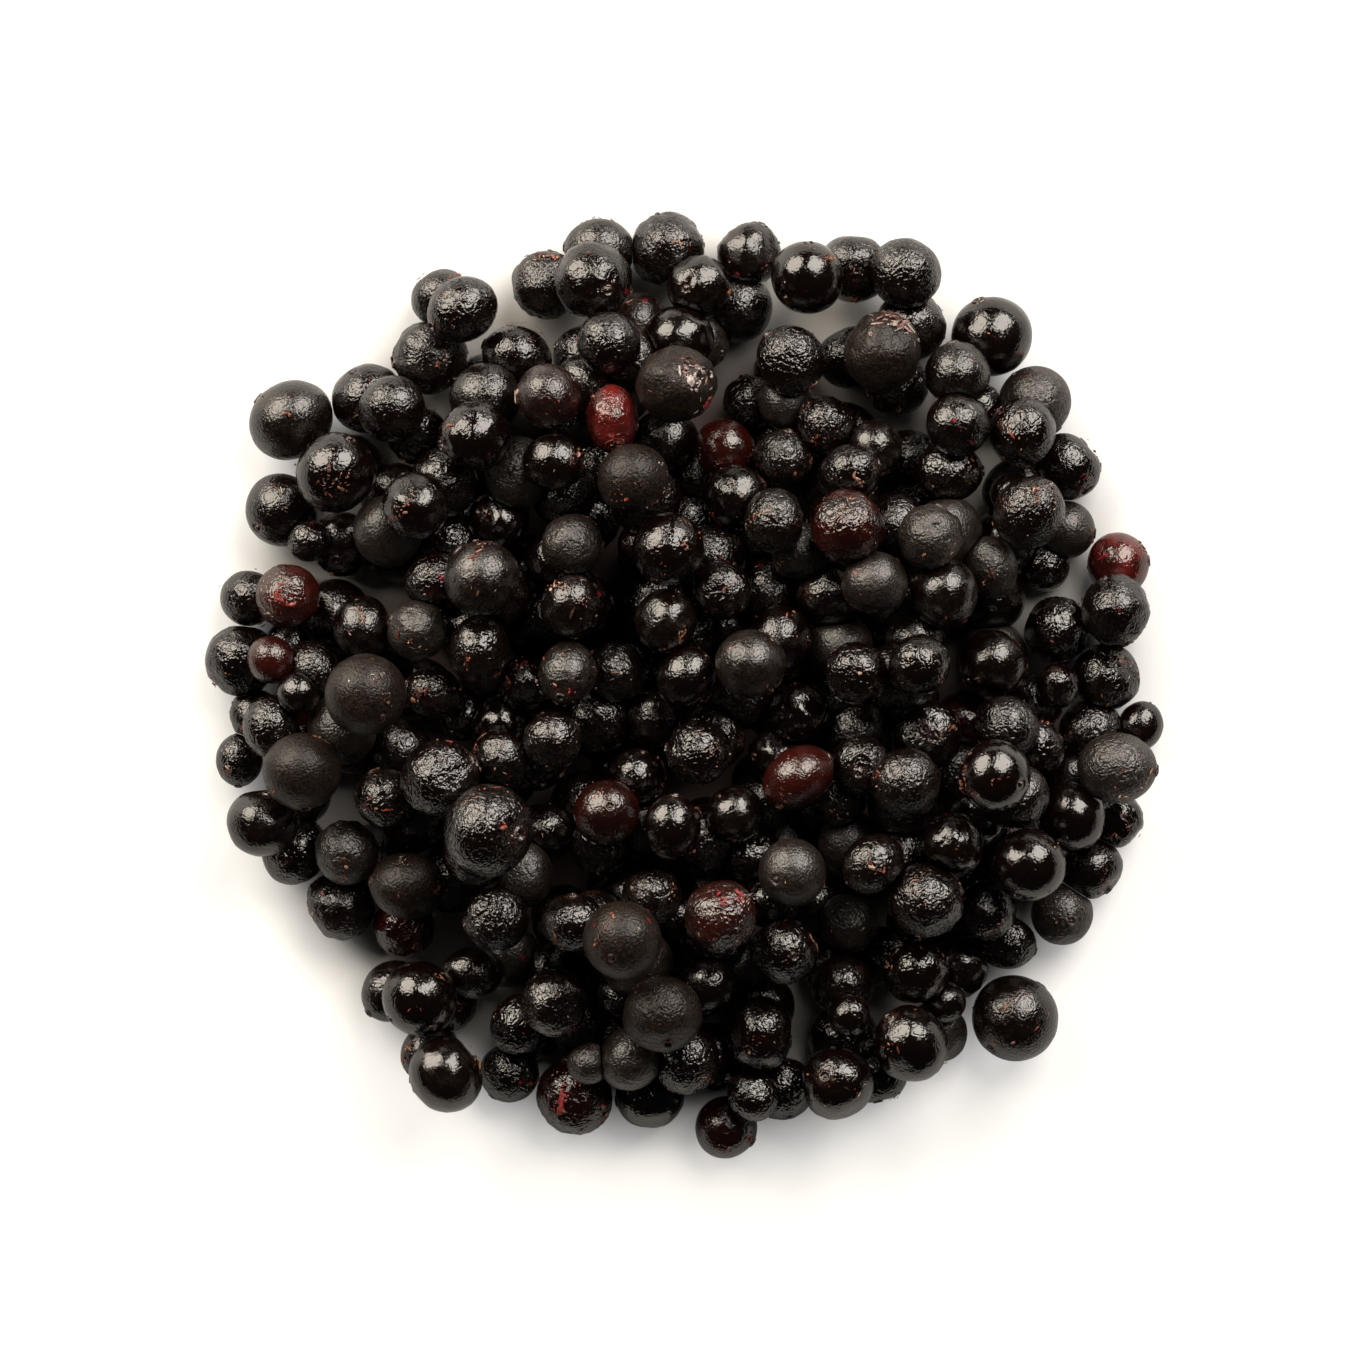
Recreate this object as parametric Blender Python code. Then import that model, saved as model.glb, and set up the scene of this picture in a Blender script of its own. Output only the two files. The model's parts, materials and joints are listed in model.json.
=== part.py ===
"""Elderberry cluster: a low round heap of frozen elderberries.

The berries lie four deep in the middle of the heap and one deep at its rim.  Neighbours that
froze together make a clump, which is one closed solid.  The berries that stand out by their
colour, frost or gloss, and the two that lie alone, are solids of their own.

The heap stands on the plane Z = 0 with the middle of its bounding box over the origin.  The
lists and the packing are in millimetres and the finished meshes in metres.
"""

import math

import bpy
import numpy as np
from mathutils import Matrix, Vector

MM = 0.001

# How the berries meet.
SKIN_GAP = 0.08          # least gap between berries that aren't frozen together
BITE = 0.14              # depth to which the facets of two frozen berries pass each other
CONTACT = 0.7            # berries nearer than this may freeze together
CLUMPS = 24
SPREAD_ROUNDS = 12
MOST_TIES = 3            # frozen neighbours that one berry may have
FIRMNESS = 30.0          # how much better a held berry keeps its place than a hidden one

# Hidden berries that fill the heap below the ones that show.
HIDDEN_SIZE = (5.5, 6.3)
FLOOR_PITCH = 6.45
MIDDLE_PITCH = 6.3
MIDDLE_REACH = 29.0      # the hidden middle layer ends here
RAISED_REACH = 27.5      # listed berries nearer the middle than this lie on the middle layer
SEED = 11

# Small berries that lie in the gaps through which the floor would show: the layer that each
# round of them joins, and the half-width of the narrowest gap that gets one.
GAP_ROUNDS = ((0, 0.7), (1, 0.6), (2, 0.5), (1, 0.5), (2, 0.45))
GAP_BERRY = (3.8, 5.4)   # smallest and largest diameter
GAP_EASE = 1.35          # how much larger than the gap its berry's radius is
GAP_GRID = 0.6

# A fine berry has 80 faces and a coarse one 20.  Each value is the distance of the nearest
# facets from the centre, as a part of the distance of the corners.
FINE = 2
COARSE = 1
FACET_DISTANCE = {FINE: 0.9342, COARSE: 0.7947}

# Berries on the floor round the rim, clockwise from the top: x, y, diameter and, for a berry
# that is a solid of its own, its kind.
RIM = [
    (-7.0, 38.0, 6.2), (-0.5, 38.0, 6.6), (6.0, 37.5, 5.7), (15.0, 36.0, 6.2),
    (20.0, 31.0, 6.2), (27.0, 30.0, 7.1, "glossy"), (31.5, 24.5, 6.4), (34.5, 18.5, 5.9),
    (33.5, 13.5, 5.0), (37.5, 9.5, 5.5, "wine"), (37.5, 5.0, 4.6), (37.0, 1.0, 5.9),
    (39.5, -3.0, 4.5),
    (38.0, -11.5, 4.9), (35.5, -16.5, 5.5), (33.0, -21.0, 5.4), (29.0, -22.5, 5.4),
    (29.0, -29.0, 7.6, "lone"), (22.5, -30.5, 5.7), (17.0, -34.0, 5.2), (9.5, -36.0, 5.7),
    (4.0, -38.5, 5.5, "wine"), (-2.5, -36.5, 6.1), (-8.5, -35.0, 6.8, "split"),
    (-15.0, -35.0, 5.2), (-22.0, -32.5, 5.5), (-25.5, -26.5, 5.7), (-30.0, -21.0, 6.1),
    (-33.5, -15.5, 6.2), (-37.5, -8.0, 4.7), (-37.5, -2.5, 4.5), (-38.5, 2.5, 6.4),
    (-37.5, 8.5, 5.5), (-34.5, 15.0, 6.4), (-33.0, 23.0, 7.5, "lone"), (-27.0, 25.0, 6.2),
    (-22.5, 28.5, 6.6), (-21.0, 32.5, 5.4), (-12.5, 34.0, 6.1),
]

# Berries on the floor that show through gaps just inside the rim.
INNER_FLOOR = [
    (-7.5, 28.0, 5.2), (-18.0, 26.5, 4.9), (24.5, -23.5, 5.2), (-28.5, 12.0, 5.7),
    (18.5, 26.0, 5.6), (-24.0, 22.0, 5.4),
]

# Places near the rim where the floor shows between the berries.
BARE_SPOTS = [
    (-2.5, 34.5), (-21.0, 24.5), (-10.5, 30.5), (4.5, 28.0), (18.0, 23.0), (26.5, 26.0),
    (12.0, 32.0), (28.0, 6.0), (19.0, 10.0), (34.0, -3.0), (25.5, -26.5), (-16.0, -30.0),
    (-20.5, -22.0), (-13.5, -24.5),
]
BARE_RADIUS = 1.1

# Berries of the second layer that show.
SECOND = [
    (-30.5, 18.5, 7.1), (-34.0, 7.5, 5.7, "wine"), (-28.0, 6.5, 5.5),
    (-32.0, 1.5, 5.2), (-35.5, -4.0, 5.5), (-36.0, -12.0, 6.2), (-29.5, -14.5, 5.7),
    (-24.5, -21.0, 5.5, "wine"), (-22.0, -27.0, 6.6, "glossy"), (-20.0, -34.0, 6.6),
    (-14.0, -29.5, 5.4), (-10.0, -27.0, 5.9), (-17.5, -24.5, 5.2), (0.0, -33.0, 6.1),
    (7.0, -30.5, 6.2), (13.5, -34.5, 6.6, "glossy"), (20.0, -31.0, 6.8, "glossy"),
    (20.0, -24.5, 5.7), (27.0, -20.0, 5.2), (33.5, -12.5, 6.1), (38.0, -7.0, 6.9),
    (33.5, 4.0, 5.9, "glossy"), (35.5, 8.0, 6.2), (29.5, 21.5, 6.1), (24.0, 27.0, 5.7),
    (11.0, 35.0, 6.4, "glossy"), (2.5, 34.5, 5.7), (-7.5, 34.5, 6.9), (-13.5, 28.0, 6.2),
    (-18.5, 32.0, 6.4), (-22.5, 15.5, 5.9), (-21.5, 8.0, 5.2), (-25.5, -10.0, 5.5),
    (-28.0, -5.0, 5.2), (-20.0, -1.5, 5.2), (-23.5, 2.0, 5.2), (-19.0, -3.0, 4.9),
    (-15.0, 14.0, 5.4), (-10.0, 18.5, 5.5), (-8.5, 13.0, 5.4), (-12.5, 1.0, 5.2),
    (-4.5, -6.5, 5.2), (-4.5, 1.0, 5.4), (0.5, 0.5, 5.5), (-1.0, 5.5, 5.7), (3.5, 7.0, 5.2),
    (2.5, 15.5, 5.5), (4.0, 21.0, 5.5), (1.0, 29.5, 5.2), (9.5, 28.0, 6.2), (13.0, 22.0, 5.4),
    (14.5, 18.5, 5.4), (22.5, 19.0, 6.1), (18.0, 20.0, 4.9), (21.5, 13.0, 5.7),
    (27.0, 1.5, 5.9), (20.0, 1.5, 5.4), (16.5, 7.5, 5.7), (10.0, 4.5, 5.7), (9.0, 10.5, 5.2),
    (22.0, -5.5, 5.9), (15.5, -6.5, 5.2), (9.0, -5.0, 5.5), (13.5, -9.5, 5.0),
    (5.5, -11.0, 5.0), (16.5, -15.5, 5.7), (24.0, -13.0, 5.4), (31.0, -5.5, 5.2),
    (33.5, -9.0, 5.0), (14.5, -21.0, 5.2), (8.0, -21.0, 5.2), (2.5, -25.5, 5.4),
    (-2.0, -18.5, 5.4), (-8.0, -15.0, 5.4), (-9.5, -20.5, 5.4), (-17.0, -21.0, 5.7),
    (-15.0, -6.0, 5.2), (11.5, -1.0, 5.2), (5.0, 24.5, 5.2), (26.0, 24.0, 4.9),
    (-9.5, -4.5, 5.2), (-2.5, -2.5, 4.9), (-12.5, -12.5, 5.2), (28.0, 9.5, 5.4),
    (30.5, -1.5, 5.2), (-3.0, 10.5, 5.0),
]

# Berries of the crown, which lie on top.
CROWN = [
    (-17.5, 20.5, 6.2), (-11.0, 24.5, 5.7, "wine"), (-6.0, 23.0, 5.9, "wine"),
    (-0.5, 25.5, 7.2, "frosted"), (-3.0, 30.5, 5.7, "wine"), (-4.0, 17.5, 6.2, "frosted"),
    (-1.0, 11.5, 6.4, "glossy"), (-9.5, 6.5, 5.7), (-17.0, 9.0, 6.6, "frosted"),
    (-16.5, 3.5, 5.7), (-9.0, 1.0, 5.7, "frosted"), (-27.0, -1.0, 7.1, "frosted"),
    (-32.5, -7.5, 6.8, "frosted"), (-19.5, -8.0, 6.9), (-16.5, -12.5, 7.8, "glossy"),
    (-11.5, -8.0, 5.5), (-6.0, -11.0, 5.7, "wine"), (-0.5, -12.5, 5.7, "glossy"),
    (1.5, -6.0, 5.7), (-23.5, -17.5, 6.6, "frosted"), (-5.0, -22.0, 6.8, "frosted"),
    (-1.5, -28.5, 6.8, "frosted"), (3.5, -20.0, 6.4, "wine"), (9.5, -16.5, 5.9, "frosted"),
    (9.5, -25.0, 5.9), (10.5, -8.0, 6.7, "wine"), (21.0, -19.0, 6.6),
    (30.0, -15.5, 6.4, "glossy"), (27.0, -8.0, 6.3, "glossy"), (20.0, -9.0, 6.1),
    (23.5, 8.0, 6.1), (15.5, 1.0, 5.5), (6.5, 2.0, 6.1, "frosted"), (7.5, 14.5, 5.5),
    (14.0, 13.5, 6.4), (8.5, 19.5, 5.2), (17.5, 28.5, 7.1, "frosted"), (30.0, 14.0, 6.8),
]

# Berries that aren't round: width as a part of the length, and the direction of the length in
# degrees from +X.  The lists above give the length as the diameter.
OVALS = {
    "lone_berry_02": (0.92, 25.0),
    "wine_berry_06": (0.80, 95.0),
    "wine_berry_10": (0.76, 33.0),
    "frosted_berry_01": (0.92, 0.0),
    "frosted_berry_12": (0.95, 80.0),
}

# Base colour and roughness of each kind of solid.
FINISHES = {
    "clump": ((0.012, 0.009, 0.010, 1.0), 0.32),
    "glossy": ((0.008, 0.006, 0.008, 1.0), 0.16),
    "frosted": ((0.085, 0.070, 0.072, 1.0), 0.72),
    "wine": ((0.105, 0.014, 0.016, 1.0), 0.34),
    "split": ((0.045, 0.012, 0.014, 1.0), 0.30),
    "lone": ((0.020, 0.015, 0.015, 1.0), 0.45),
}


class Heap:
    """The berries while they are being packed: centres, radii, listed places and what holds them."""

    def __init__(self):
        self.centre = np.zeros((0, 3))
        self.place = np.zeros((0, 2))
        self.radius = np.zeros(0)
        self.layer = np.zeros(0, dtype=int)
        self.hold = np.zeros(0)
        self.grade = np.zeros(0, dtype=int)
        self.kind = []

    def add(self, x, y, diameter, layer, hold, grade, kind="clump"):
        """Add one berry, held near its place with a stiffness from 0 to 1."""
        height = (0.45 + 0.95 * layer) * diameter
        self.centre = np.vstack([self.centre, (x, y, height)])
        self.place = np.vstack([self.place, (x, y)])
        self.radius = np.append(self.radius, diameter / 2)
        self.layer = np.append(self.layer, layer)
        self.hold = np.append(self.hold, hold)
        self.grade = np.append(self.grade, grade)
        self.kind.append(kind)

    def freedom(self):
        """How readily each berry gives way to its neighbours: one with a held place yields less."""
        return 1.0 / (1.0 + FIRMNESS * self.hold)

    def facet(self):
        """Distance of each berry's nearest facets from its centre."""
        ratio = np.where(self.grade == FINE, FACET_DISTANCE[FINE], FACET_DISTANCE[COARSE])
        return self.radius * ratio


def listed_berries(heap, rows, layer, hold):
    """Add the berries of one list."""
    for row in rows:
        raised = layer > 0 and math.hypot(row[0], row[1]) < RAISED_REACH
        heap.add(row[0], row[1], row[2], layer + int(raised), hold, FINE, *row[3:])


def rim_reach(angles):
    """Distance of the rim from the middle in the given directions."""
    rim = np.array([row[:2] for row in RIM])
    direction = np.arctan2(rim[:, 1], rim[:, 0])
    order = np.argsort(direction)
    distance = np.hypot(rim[:, 0], rim[:, 1])
    return np.interp(angles, direction[order], distance[order], period=2 * math.pi)


def lattice(pitch, reach):
    """Points of a triangular lattice within a circle, one of them at the middle."""
    rows = int(reach / pitch) + 2
    points = []
    for row in range(-rows, rows + 1):
        for column in range(-rows, rows + 1):
            x = (column + 0.5 * (row % 2)) * pitch
            y = row * pitch * math.sqrt(0.75)
            if math.hypot(x, y) <= reach:
                points.append((x, y))
    return np.array(points)


def fill_hidden(heap, layer, points, rng, nearest):
    """Add a hidden berry at each point that is far enough from its layer's other berries."""
    for x, y in points:
        size = rng.uniform(*HIDDEN_SIZE)
        x += rng.uniform(-0.5, 0.5)
        y += rng.uniform(-0.5, 0.5)
        same = heap.layer == layer
        away = np.hypot(heap.centre[same, 0] - x, heap.centre[same, 1] - y)
        room = nearest * (heap.radius[same] + size / 2)
        if np.all(away > room):
            heap.add(x, y, size, layer, 0.0, COARSE)


def near_pairs(heap, reach):
    """Index pairs of berries whose skins are nearer than reach."""
    span = heap.centre[:, None, :] - heap.centre[None, :, :]
    gap = np.linalg.norm(span, axis=2) - heap.radius[:, None] - heap.radius[None, :]
    first, second = np.nonzero(np.triu(gap < reach, k=1))
    return first, second


def push(heap, first, second, least, most, share):
    """Move each pair towards its allowed range of distances; return the worst miss."""
    span = heap.centre[second] - heap.centre[first]
    distance = np.maximum(np.linalg.norm(span, axis=1), 1e-6)
    short = np.maximum(least - distance, 0.0) - np.maximum(distance - most, 0.0)
    active = short != 0.0
    first, second = first[active], second[active]
    step = (span / distance[:, None] * short[:, None])[active]
    freedom = heap.freedom()
    part = (freedom[first] / (freedom[first] + freedom[second]))[:, None]
    move = np.zeros_like(heap.centre)
    count = np.zeros(len(heap.radius))
    np.add.at(move, first, -step * part)
    np.add.at(move, second, step * (1.0 - part))
    np.add.at(count, first, 1.0)
    np.add.at(count, second, 1.0)
    heap.centre += share * move / np.maximum(1.0, 0.5 * count)[:, None]
    return float(np.abs(short).max())


def clear_bare_spots(heap):
    """Keep the berries from covering the places where the floor shows."""
    for x, y in BARE_SPOTS:
        offset = heap.centre[:, :2] - (x, y)
        distance = np.maximum(np.linalg.norm(offset, axis=1), 1e-6)
        low = np.where(heap.layer == 0, 1.0, 0.8)
        short = np.maximum(low * heap.radius + BARE_RADIUS - distance, 0.0)
        heap.centre[:, :2] += offset / distance[:, None] * (0.2 * short)[:, None]


def rest_on_floor(heap):
    """Put the floor layer on its facets and keep the rest above the floor."""
    on_floor = heap.layer == 0
    facet = heap.facet()
    heap.centre[on_floor, 2] = facet[on_floor]
    heap.centre[~on_floor, 2] = np.maximum(heap.centre[~on_floor, 2], heap.radius[~on_floor])


def settle(heap, steps, fall):
    """Let the upper berries sink until they rest on the ones below."""
    far = np.inf
    for step in range(steps):
        if step % 20 == 0:
            first, second = near_pairs(heap, 2.0)
            least = heap.radius[first] + heap.radius[second] + SKIN_GAP
        sinking = heap.layer > 0
        heap.centre[sinking, 2] -= fall * (1.0 - step / steps)
        heap.centre[:, :2] += heap.hold[:, None] * (heap.place - heap.centre[:, :2])
        clear_bare_spots(heap)
        for _ in range(4):
            push(heap, first, second, least, far, 0.9)
            rest_on_floor(heap)


def open_points(heap):
    """Grid points well inside the rim from which the floor can be seen, away from bare spots."""
    axis = np.arange(-40.0, 40.0, GAP_GRID)
    points = np.array([(x, y) for x in axis for y in axis])
    inside = np.hypot(*points.T) < rim_reach(np.arctan2(points[:, 1], points[:, 0])) - 2.0
    points = points[inside]
    for spot in BARE_SPOTS:
        points = points[np.hypot(*(points - spot).T) > 3.0]
    return points


def fill_gaps(heap, layer, narrowest):
    """Add a small berry wherever the floor shows from above."""
    points = open_points(heap)
    while True:
        away = np.linalg.norm(points[:, None, :] - heap.centre[None, :, :2], axis=2)
        clear = (away - heap.radius).min(axis=1)
        widest = int(np.argmax(clear))
        if clear[widest] < narrowest:
            return
        size = float(np.clip(2.0 * (clear[widest] + GAP_EASE), *GAP_BERRY))
        heap.add(*points[widest], size, layer, 0.0, COARSE)


def clump_seeds(heap, members):
    """Choose the first berry of each clump, spread evenly through the heap."""
    places = heap.centre[members]
    middles = [places[0]]
    while len(middles) < CLUMPS:
        away = np.min([np.linalg.norm(places - middle, axis=1) for middle in middles], axis=0)
        middles.append(places[int(np.argmax(away))])
    middles = np.array(middles)
    for _ in range(SPREAD_ROUNDS):
        away = np.linalg.norm(places[:, None, :] - middles[None, :, :], axis=2)
        nearest = np.argmin(away, axis=1)
        middles = np.array([places[nearest == number].mean(axis=0) for number in range(CLUMPS)])
    away = np.linalg.norm(places[:, None, :] - middles[None, :, :], axis=2)
    return [members[index] for index in np.argmin(away, axis=0)]


def freeze_clumps(heap):
    """Grow the clumps berry by berry; return each berry's clump and the frozen pairs."""
    members = [index for index, kind in enumerate(heap.kind) if kind == "clump"]
    span = heap.centre[:, None, :] - heap.centre[None, :, :]
    gap = np.linalg.norm(span, axis=2) - heap.radius[:, None] - heap.radius[None, :]
    clump_of = {seed: number for number, seed in enumerate(clump_seeds(heap, members))}
    ties = np.zeros(len(heap.radius), dtype=int)
    bonds = []
    growing = set(range(CLUMPS))
    free = [index for index in members if index not in clump_of]
    while free:
        size = np.bincount(list(clump_of.values()), minlength=CLUMPS)
        turn = min(growing, key=lambda number: size[number]) if growing else None
        inside = [index for index, number in clump_of.items()
                  if ties[index] < MOST_TIES and turn in (None, number)]
        block = gap[np.ix_(inside, free)]
        if turn is not None and (not inside or block.min() > CONTACT):
            growing.discard(turn)
            continue
        row, column = np.unravel_index(np.argmin(block), block.shape)
        parent, child = inside[row], free.pop(column)
        clump_of[child] = clump_of[parent]
        ties[[parent, child]] += 1
        bonds.append((parent, child))
    return clump_of, bonds


def freeze(heap, bonds, steps):
    """Press frozen pairs into each other and part all others; return the worst miss."""
    facet = heap.facet()
    bonded = set(bonds) | {(child, parent) for parent, child in bonds}
    held = heap.centre.copy()
    listed = heap.hold > 0.0
    held[listed, :2] = heap.place[listed]
    worst = np.inf
    for step in range(steps):
        if step % 25 == 0:
            first, second = near_pairs(heap, 2.5)
            joined = np.array([(a, b) in bonded for a, b in zip(first, second)])
            apart = heap.radius[first] + heap.radius[second] + SKIN_GAP
            press = facet[first] + facet[second] - BITE
            least = np.where(joined, press - 0.25, apart)
            most = np.where(joined, press, np.inf)
        if step < steps / 2:
            heap.centre += 0.012 * (held - heap.centre) * (1.0 - 2.0 * step / steps)
        worst = push(heap, first, second, least, most, 0.9)
        rest_on_floor(heap)
        if worst < 0.004 and step > steps // 2:
            break
    return worst


def packed_heap():
    """Place every berry; return the heap and each berry's clump."""
    rng = np.random.default_rng(SEED)
    heap = Heap()
    heap.add(0.0, 0.0, 6.2, 0, 1.0, COARSE)
    listed_berries(heap, RIM, 0, 0.25)
    listed_berries(heap, INNER_FLOOR, 0, 0.15)
    floor_points = lattice(FLOOR_PITCH, 41.0)
    direction = np.arctan2(floor_points[:, 1], floor_points[:, 0])
    inside = np.hypot(*floor_points.T) < rim_reach(direction) - 3.0
    fill_hidden(heap, 0, floor_points[inside], rng, 0.86)
    listed_berries(heap, SECOND, 1, 0.12)
    fill_hidden(heap, 1, lattice(MIDDLE_PITCH, MIDDLE_REACH) + (1.1, 0.7), rng, 0.86)
    listed_berries(heap, CROWN, 2, 0.1)
    settle(heap, 600, 0.12)
    for layer, narrowest in GAP_ROUNDS:
        fill_gaps(heap, layer, narrowest)
        settle(heap, 200, 0.05)
    clump_of, bonds = freeze_clumps(heap)
    miss = freeze(heap, bonds, 6000)
    if miss > 0.5 * SKIN_GAP:
        raise RuntimeError("the berries couldn't be packed")
    return heap, clump_of


def clear_scene():
    """Remove every object that the scene holds."""
    for thing in list(bpy.data.objects):
        bpy.data.objects.remove(thing, do_unlink=True)


def new_collection(name):
    """Make a collection in the scene."""
    collection = bpy.data.collections.new(name)
    bpy.context.scene.collection.children.link(collection)
    return collection


def move_to(thing, collection):
    """Put an object in one collection only."""
    for owner in list(thing.users_collection):
        owner.objects.unlink(thing)
    collection.objects.link(thing)


def skin(kind):
    """Material of one kind of berry."""
    colour, roughness = FINISHES[kind]
    material = bpy.data.materials.new(kind + "_skin")
    material.use_nodes = True
    shader = material.node_tree.nodes["Principled BSDF"]
    shader.inputs["Base Color"].default_value = colour
    shader.inputs["Roughness"].default_value = roughness
    shader.inputs["Metallic"].default_value = 0.0
    return material


def turn_of(mesh, on_floor, rng):
    """Turn of a berry: on a facet if it rests on the floor, any way up if it doesn't."""
    yaw = Matrix.Rotation(rng.uniform(0.0, 2 * math.pi), 4, "Z")
    if on_floor:
        lowest = min(mesh.polygons, key=lambda face: face.center.length)
        down = lowest.normal.rotation_difference(Vector((0.0, 0.0, -1.0)))
        return yaw @ down.to_matrix().to_4x4()
    tilt = Matrix.Rotation(math.acos(rng.uniform(-1.0, 1.0)), 4, "X")
    return yaw @ tilt @ Matrix.Rotation(rng.uniform(0.0, 2 * math.pi), 4, "Z")


def oval(width, direction):
    """Narrow a round berry across its length and a little in height."""
    turn = Matrix.Rotation(math.radians(direction), 4, "Z")
    narrow = Matrix.Diagonal((1.0, width, 1.0, 1.0))
    return turn @ narrow @ turn.inverted()


def berry(heap, index, name, rng):
    """Model one berry as a faceted ball at its place in the heap."""
    bpy.ops.mesh.primitive_ico_sphere_add(subdivisions=int(heap.grade[index]),
                                          radius=float(heap.radius[index]) * MM)
    ball = bpy.context.object
    ball.name = name
    ball.data.name = name
    ball.data.transform(turn_of(ball.data, heap.layer[index] == 0, rng))
    if name in OVALS:
        ball.data.transform(oval(*OVALS[name]))
    ball.location = Vector([float(value) * MM for value in heap.centre[index]])
    return ball


def join_berries(balls, stock):
    """Union the berries of one clump into the first of them."""
    base = balls[0]
    rest = bpy.data.collections.new(base.name + "_rest")
    stock.children.link(rest)
    for ball in balls[1:]:
        move_to(ball, rest)
    union = base.modifiers.new("frozen_together", "BOOLEAN")
    union.operation = "UNION"
    union.operand_type = "COLLECTION"
    union.collection = rest
    union.solver = "EXACT"
    graph = bpy.context.evaluated_depsgraph_get()
    mesh = bpy.data.meshes.new_from_object(base.evaluated_get(graph))
    base.modifiers.clear()
    base.data = mesh
    for ball in balls[1:]:
        bpy.data.objects.remove(ball, do_unlink=True)
    bpy.data.collections.remove(rest)
    return base


def finish(thing, kind, skins, heap_empty, collection):
    """Shade one solid, give it its material and hang it on the heap's empty."""
    thing.data.materials.clear()
    thing.data.materials.append(skins[kind])
    thing.data.shade_smooth()
    thing.parent = heap_empty
    move_to(thing, collection)


def standout_berries(heap, rng):
    """Model the berries that are solids of their own; return each with its kind."""
    counts = {}
    made = []
    for index, kind in enumerate(heap.kind):
        if kind == "clump":
            continue
        counts[kind] = counts.get(kind, 0) + 1
        name = f"{kind}_berry_{counts[kind]:02d}"
        made.append((berry(heap, index, name, rng), kind))
    return made


def clumps(heap, clump_of, stock, rng):
    """Model the clumps; return each with its kind."""
    made = []
    for number in range(CLUMPS):
        name = f"berry_clump_{number + 1:02d}"
        members = sorted(index for index, owner in clump_of.items() if owner == number)
        balls = [berry(heap, index, name if index == members[0] else f"{name}_part", rng)
                 for index in members]
        made.append((join_berries(balls, stock), "clump"))
    return made


def centre_heap(heap_empty, things):
    """Bring the middle of the bounding box over the origin."""
    bpy.context.view_layer.update()
    points = [thing.matrix_world @ vertex.co for thing in things for vertex in thing.data.vertices]
    for axis in (0, 1):
        values = [point[axis] for point in points]
        heap_empty.location[axis] = -0.5 * (min(values) + max(values))


def main():
    """Build the cluster."""
    clear_scene()
    collection = new_collection("elderberry_cluster")
    stock = new_collection("cutters")
    heap_empty = bpy.data.objects.new("heap_middle", None)
    collection.objects.link(heap_empty)
    skins = {kind: skin(kind) for kind in FINISHES}
    heap, clump_of = packed_heap()
    rng = np.random.default_rng(SEED + 1)
    made = standout_berries(heap, rng) + clumps(heap, clump_of, stock, rng)
    for thing, kind in made:
        finish(thing, kind, skins, heap_empty, collection)
    centre_heap(heap_empty, [thing for thing, _ in made])


if __name__ == "__main__":
    main()
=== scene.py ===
"""Elderberry cluster: skins, crumbs and frost for a packed heap of berries, and its studio.

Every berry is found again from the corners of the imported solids, and a modelled berry is put in
its place, so each new piece stands for one solid.  Lengths are in metres unless a name ends in
_mm, and a modelled berry has a radius of one before it is placed.
"""

import json
import math

import bmesh
import bpy
import numpy as np
from bpy.props import FloatProperty, FloatVectorProperty, IntProperty, PointerProperty
from mathutils import Matrix, Vector


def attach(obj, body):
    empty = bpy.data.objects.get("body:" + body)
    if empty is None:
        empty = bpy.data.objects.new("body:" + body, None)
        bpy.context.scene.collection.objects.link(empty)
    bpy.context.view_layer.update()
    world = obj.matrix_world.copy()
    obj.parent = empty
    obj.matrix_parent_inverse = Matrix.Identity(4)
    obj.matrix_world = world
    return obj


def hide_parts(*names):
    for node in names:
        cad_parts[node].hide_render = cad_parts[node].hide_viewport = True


bl_info = {
    "name": "Elderberry cluster",
    "version": (1, 0, 0),
    "blender": (4, 5, 0),
    "location": "View3D > Sidebar > Elderberries",
    "description": "Models the berries, crumbs, frost and studio of an elderberry cluster",
    "category": "Object",
}

MM = 0.001
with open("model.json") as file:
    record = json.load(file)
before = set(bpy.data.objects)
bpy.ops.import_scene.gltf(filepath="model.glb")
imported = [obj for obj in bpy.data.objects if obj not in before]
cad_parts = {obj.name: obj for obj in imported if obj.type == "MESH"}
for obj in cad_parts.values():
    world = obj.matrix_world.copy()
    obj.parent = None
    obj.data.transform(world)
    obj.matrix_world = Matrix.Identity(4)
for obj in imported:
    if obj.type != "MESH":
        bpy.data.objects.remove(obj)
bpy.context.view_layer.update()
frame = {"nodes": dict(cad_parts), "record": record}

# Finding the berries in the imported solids.
WELD = 1e-6
FLAT = 1e-3              # four points that span less than this part of a cube lie in one plane
SAME_MIDDLE = 1.5e-5     # two guesses of one berry's middle lie this near
LEAST_VOTES = 3
FINE_EDGE = 0.8          # a shown berry's facets have edges shorter than this times its radius

# Parts of a berry, as parts of its radius.
COLLAR_REACH = 0.34      # how far the calyx's brown skin reaches from the pole
SCAR_REACH = 0.20
CAP_HEIGHT = 0.96        # faces further up lie in the calyx, and as far down in the scar

SHOWN_BALL = (20, 13)    # segments and rings of the ball that a berry is modelled from
HIDDEN_BALL = (16, 10)

CONTACT_GAP_MM = 0.015   # half of the gap between two berries pressed against each other
CRUMB_CLEARANCE_MM = 0.05
LOWEST_CRUMB_MM = 0.25   # no crumb lies nearer to the floor

SKIN_DEPTH_MM = 0.10     # the skin's bump at full height
TINY_DEPTH_MM = 0.05     # and a crumb's
BOARD_DEPTH_MM = 0.01    # and the board's
BLACK = (0.0, 0.0, 0.0, 1.0)
BACKDROP = (1.0, 0.99, 0.975)
DRIED_JUICE = (0.02, 0.006, 0.005)
DULL_SHINE = 0.30        # how much a frosted skin shines

SHOWN_SHAPES = ("plump", "egg", "dented", "lumpy", "wrinkled", "ringed")


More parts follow.
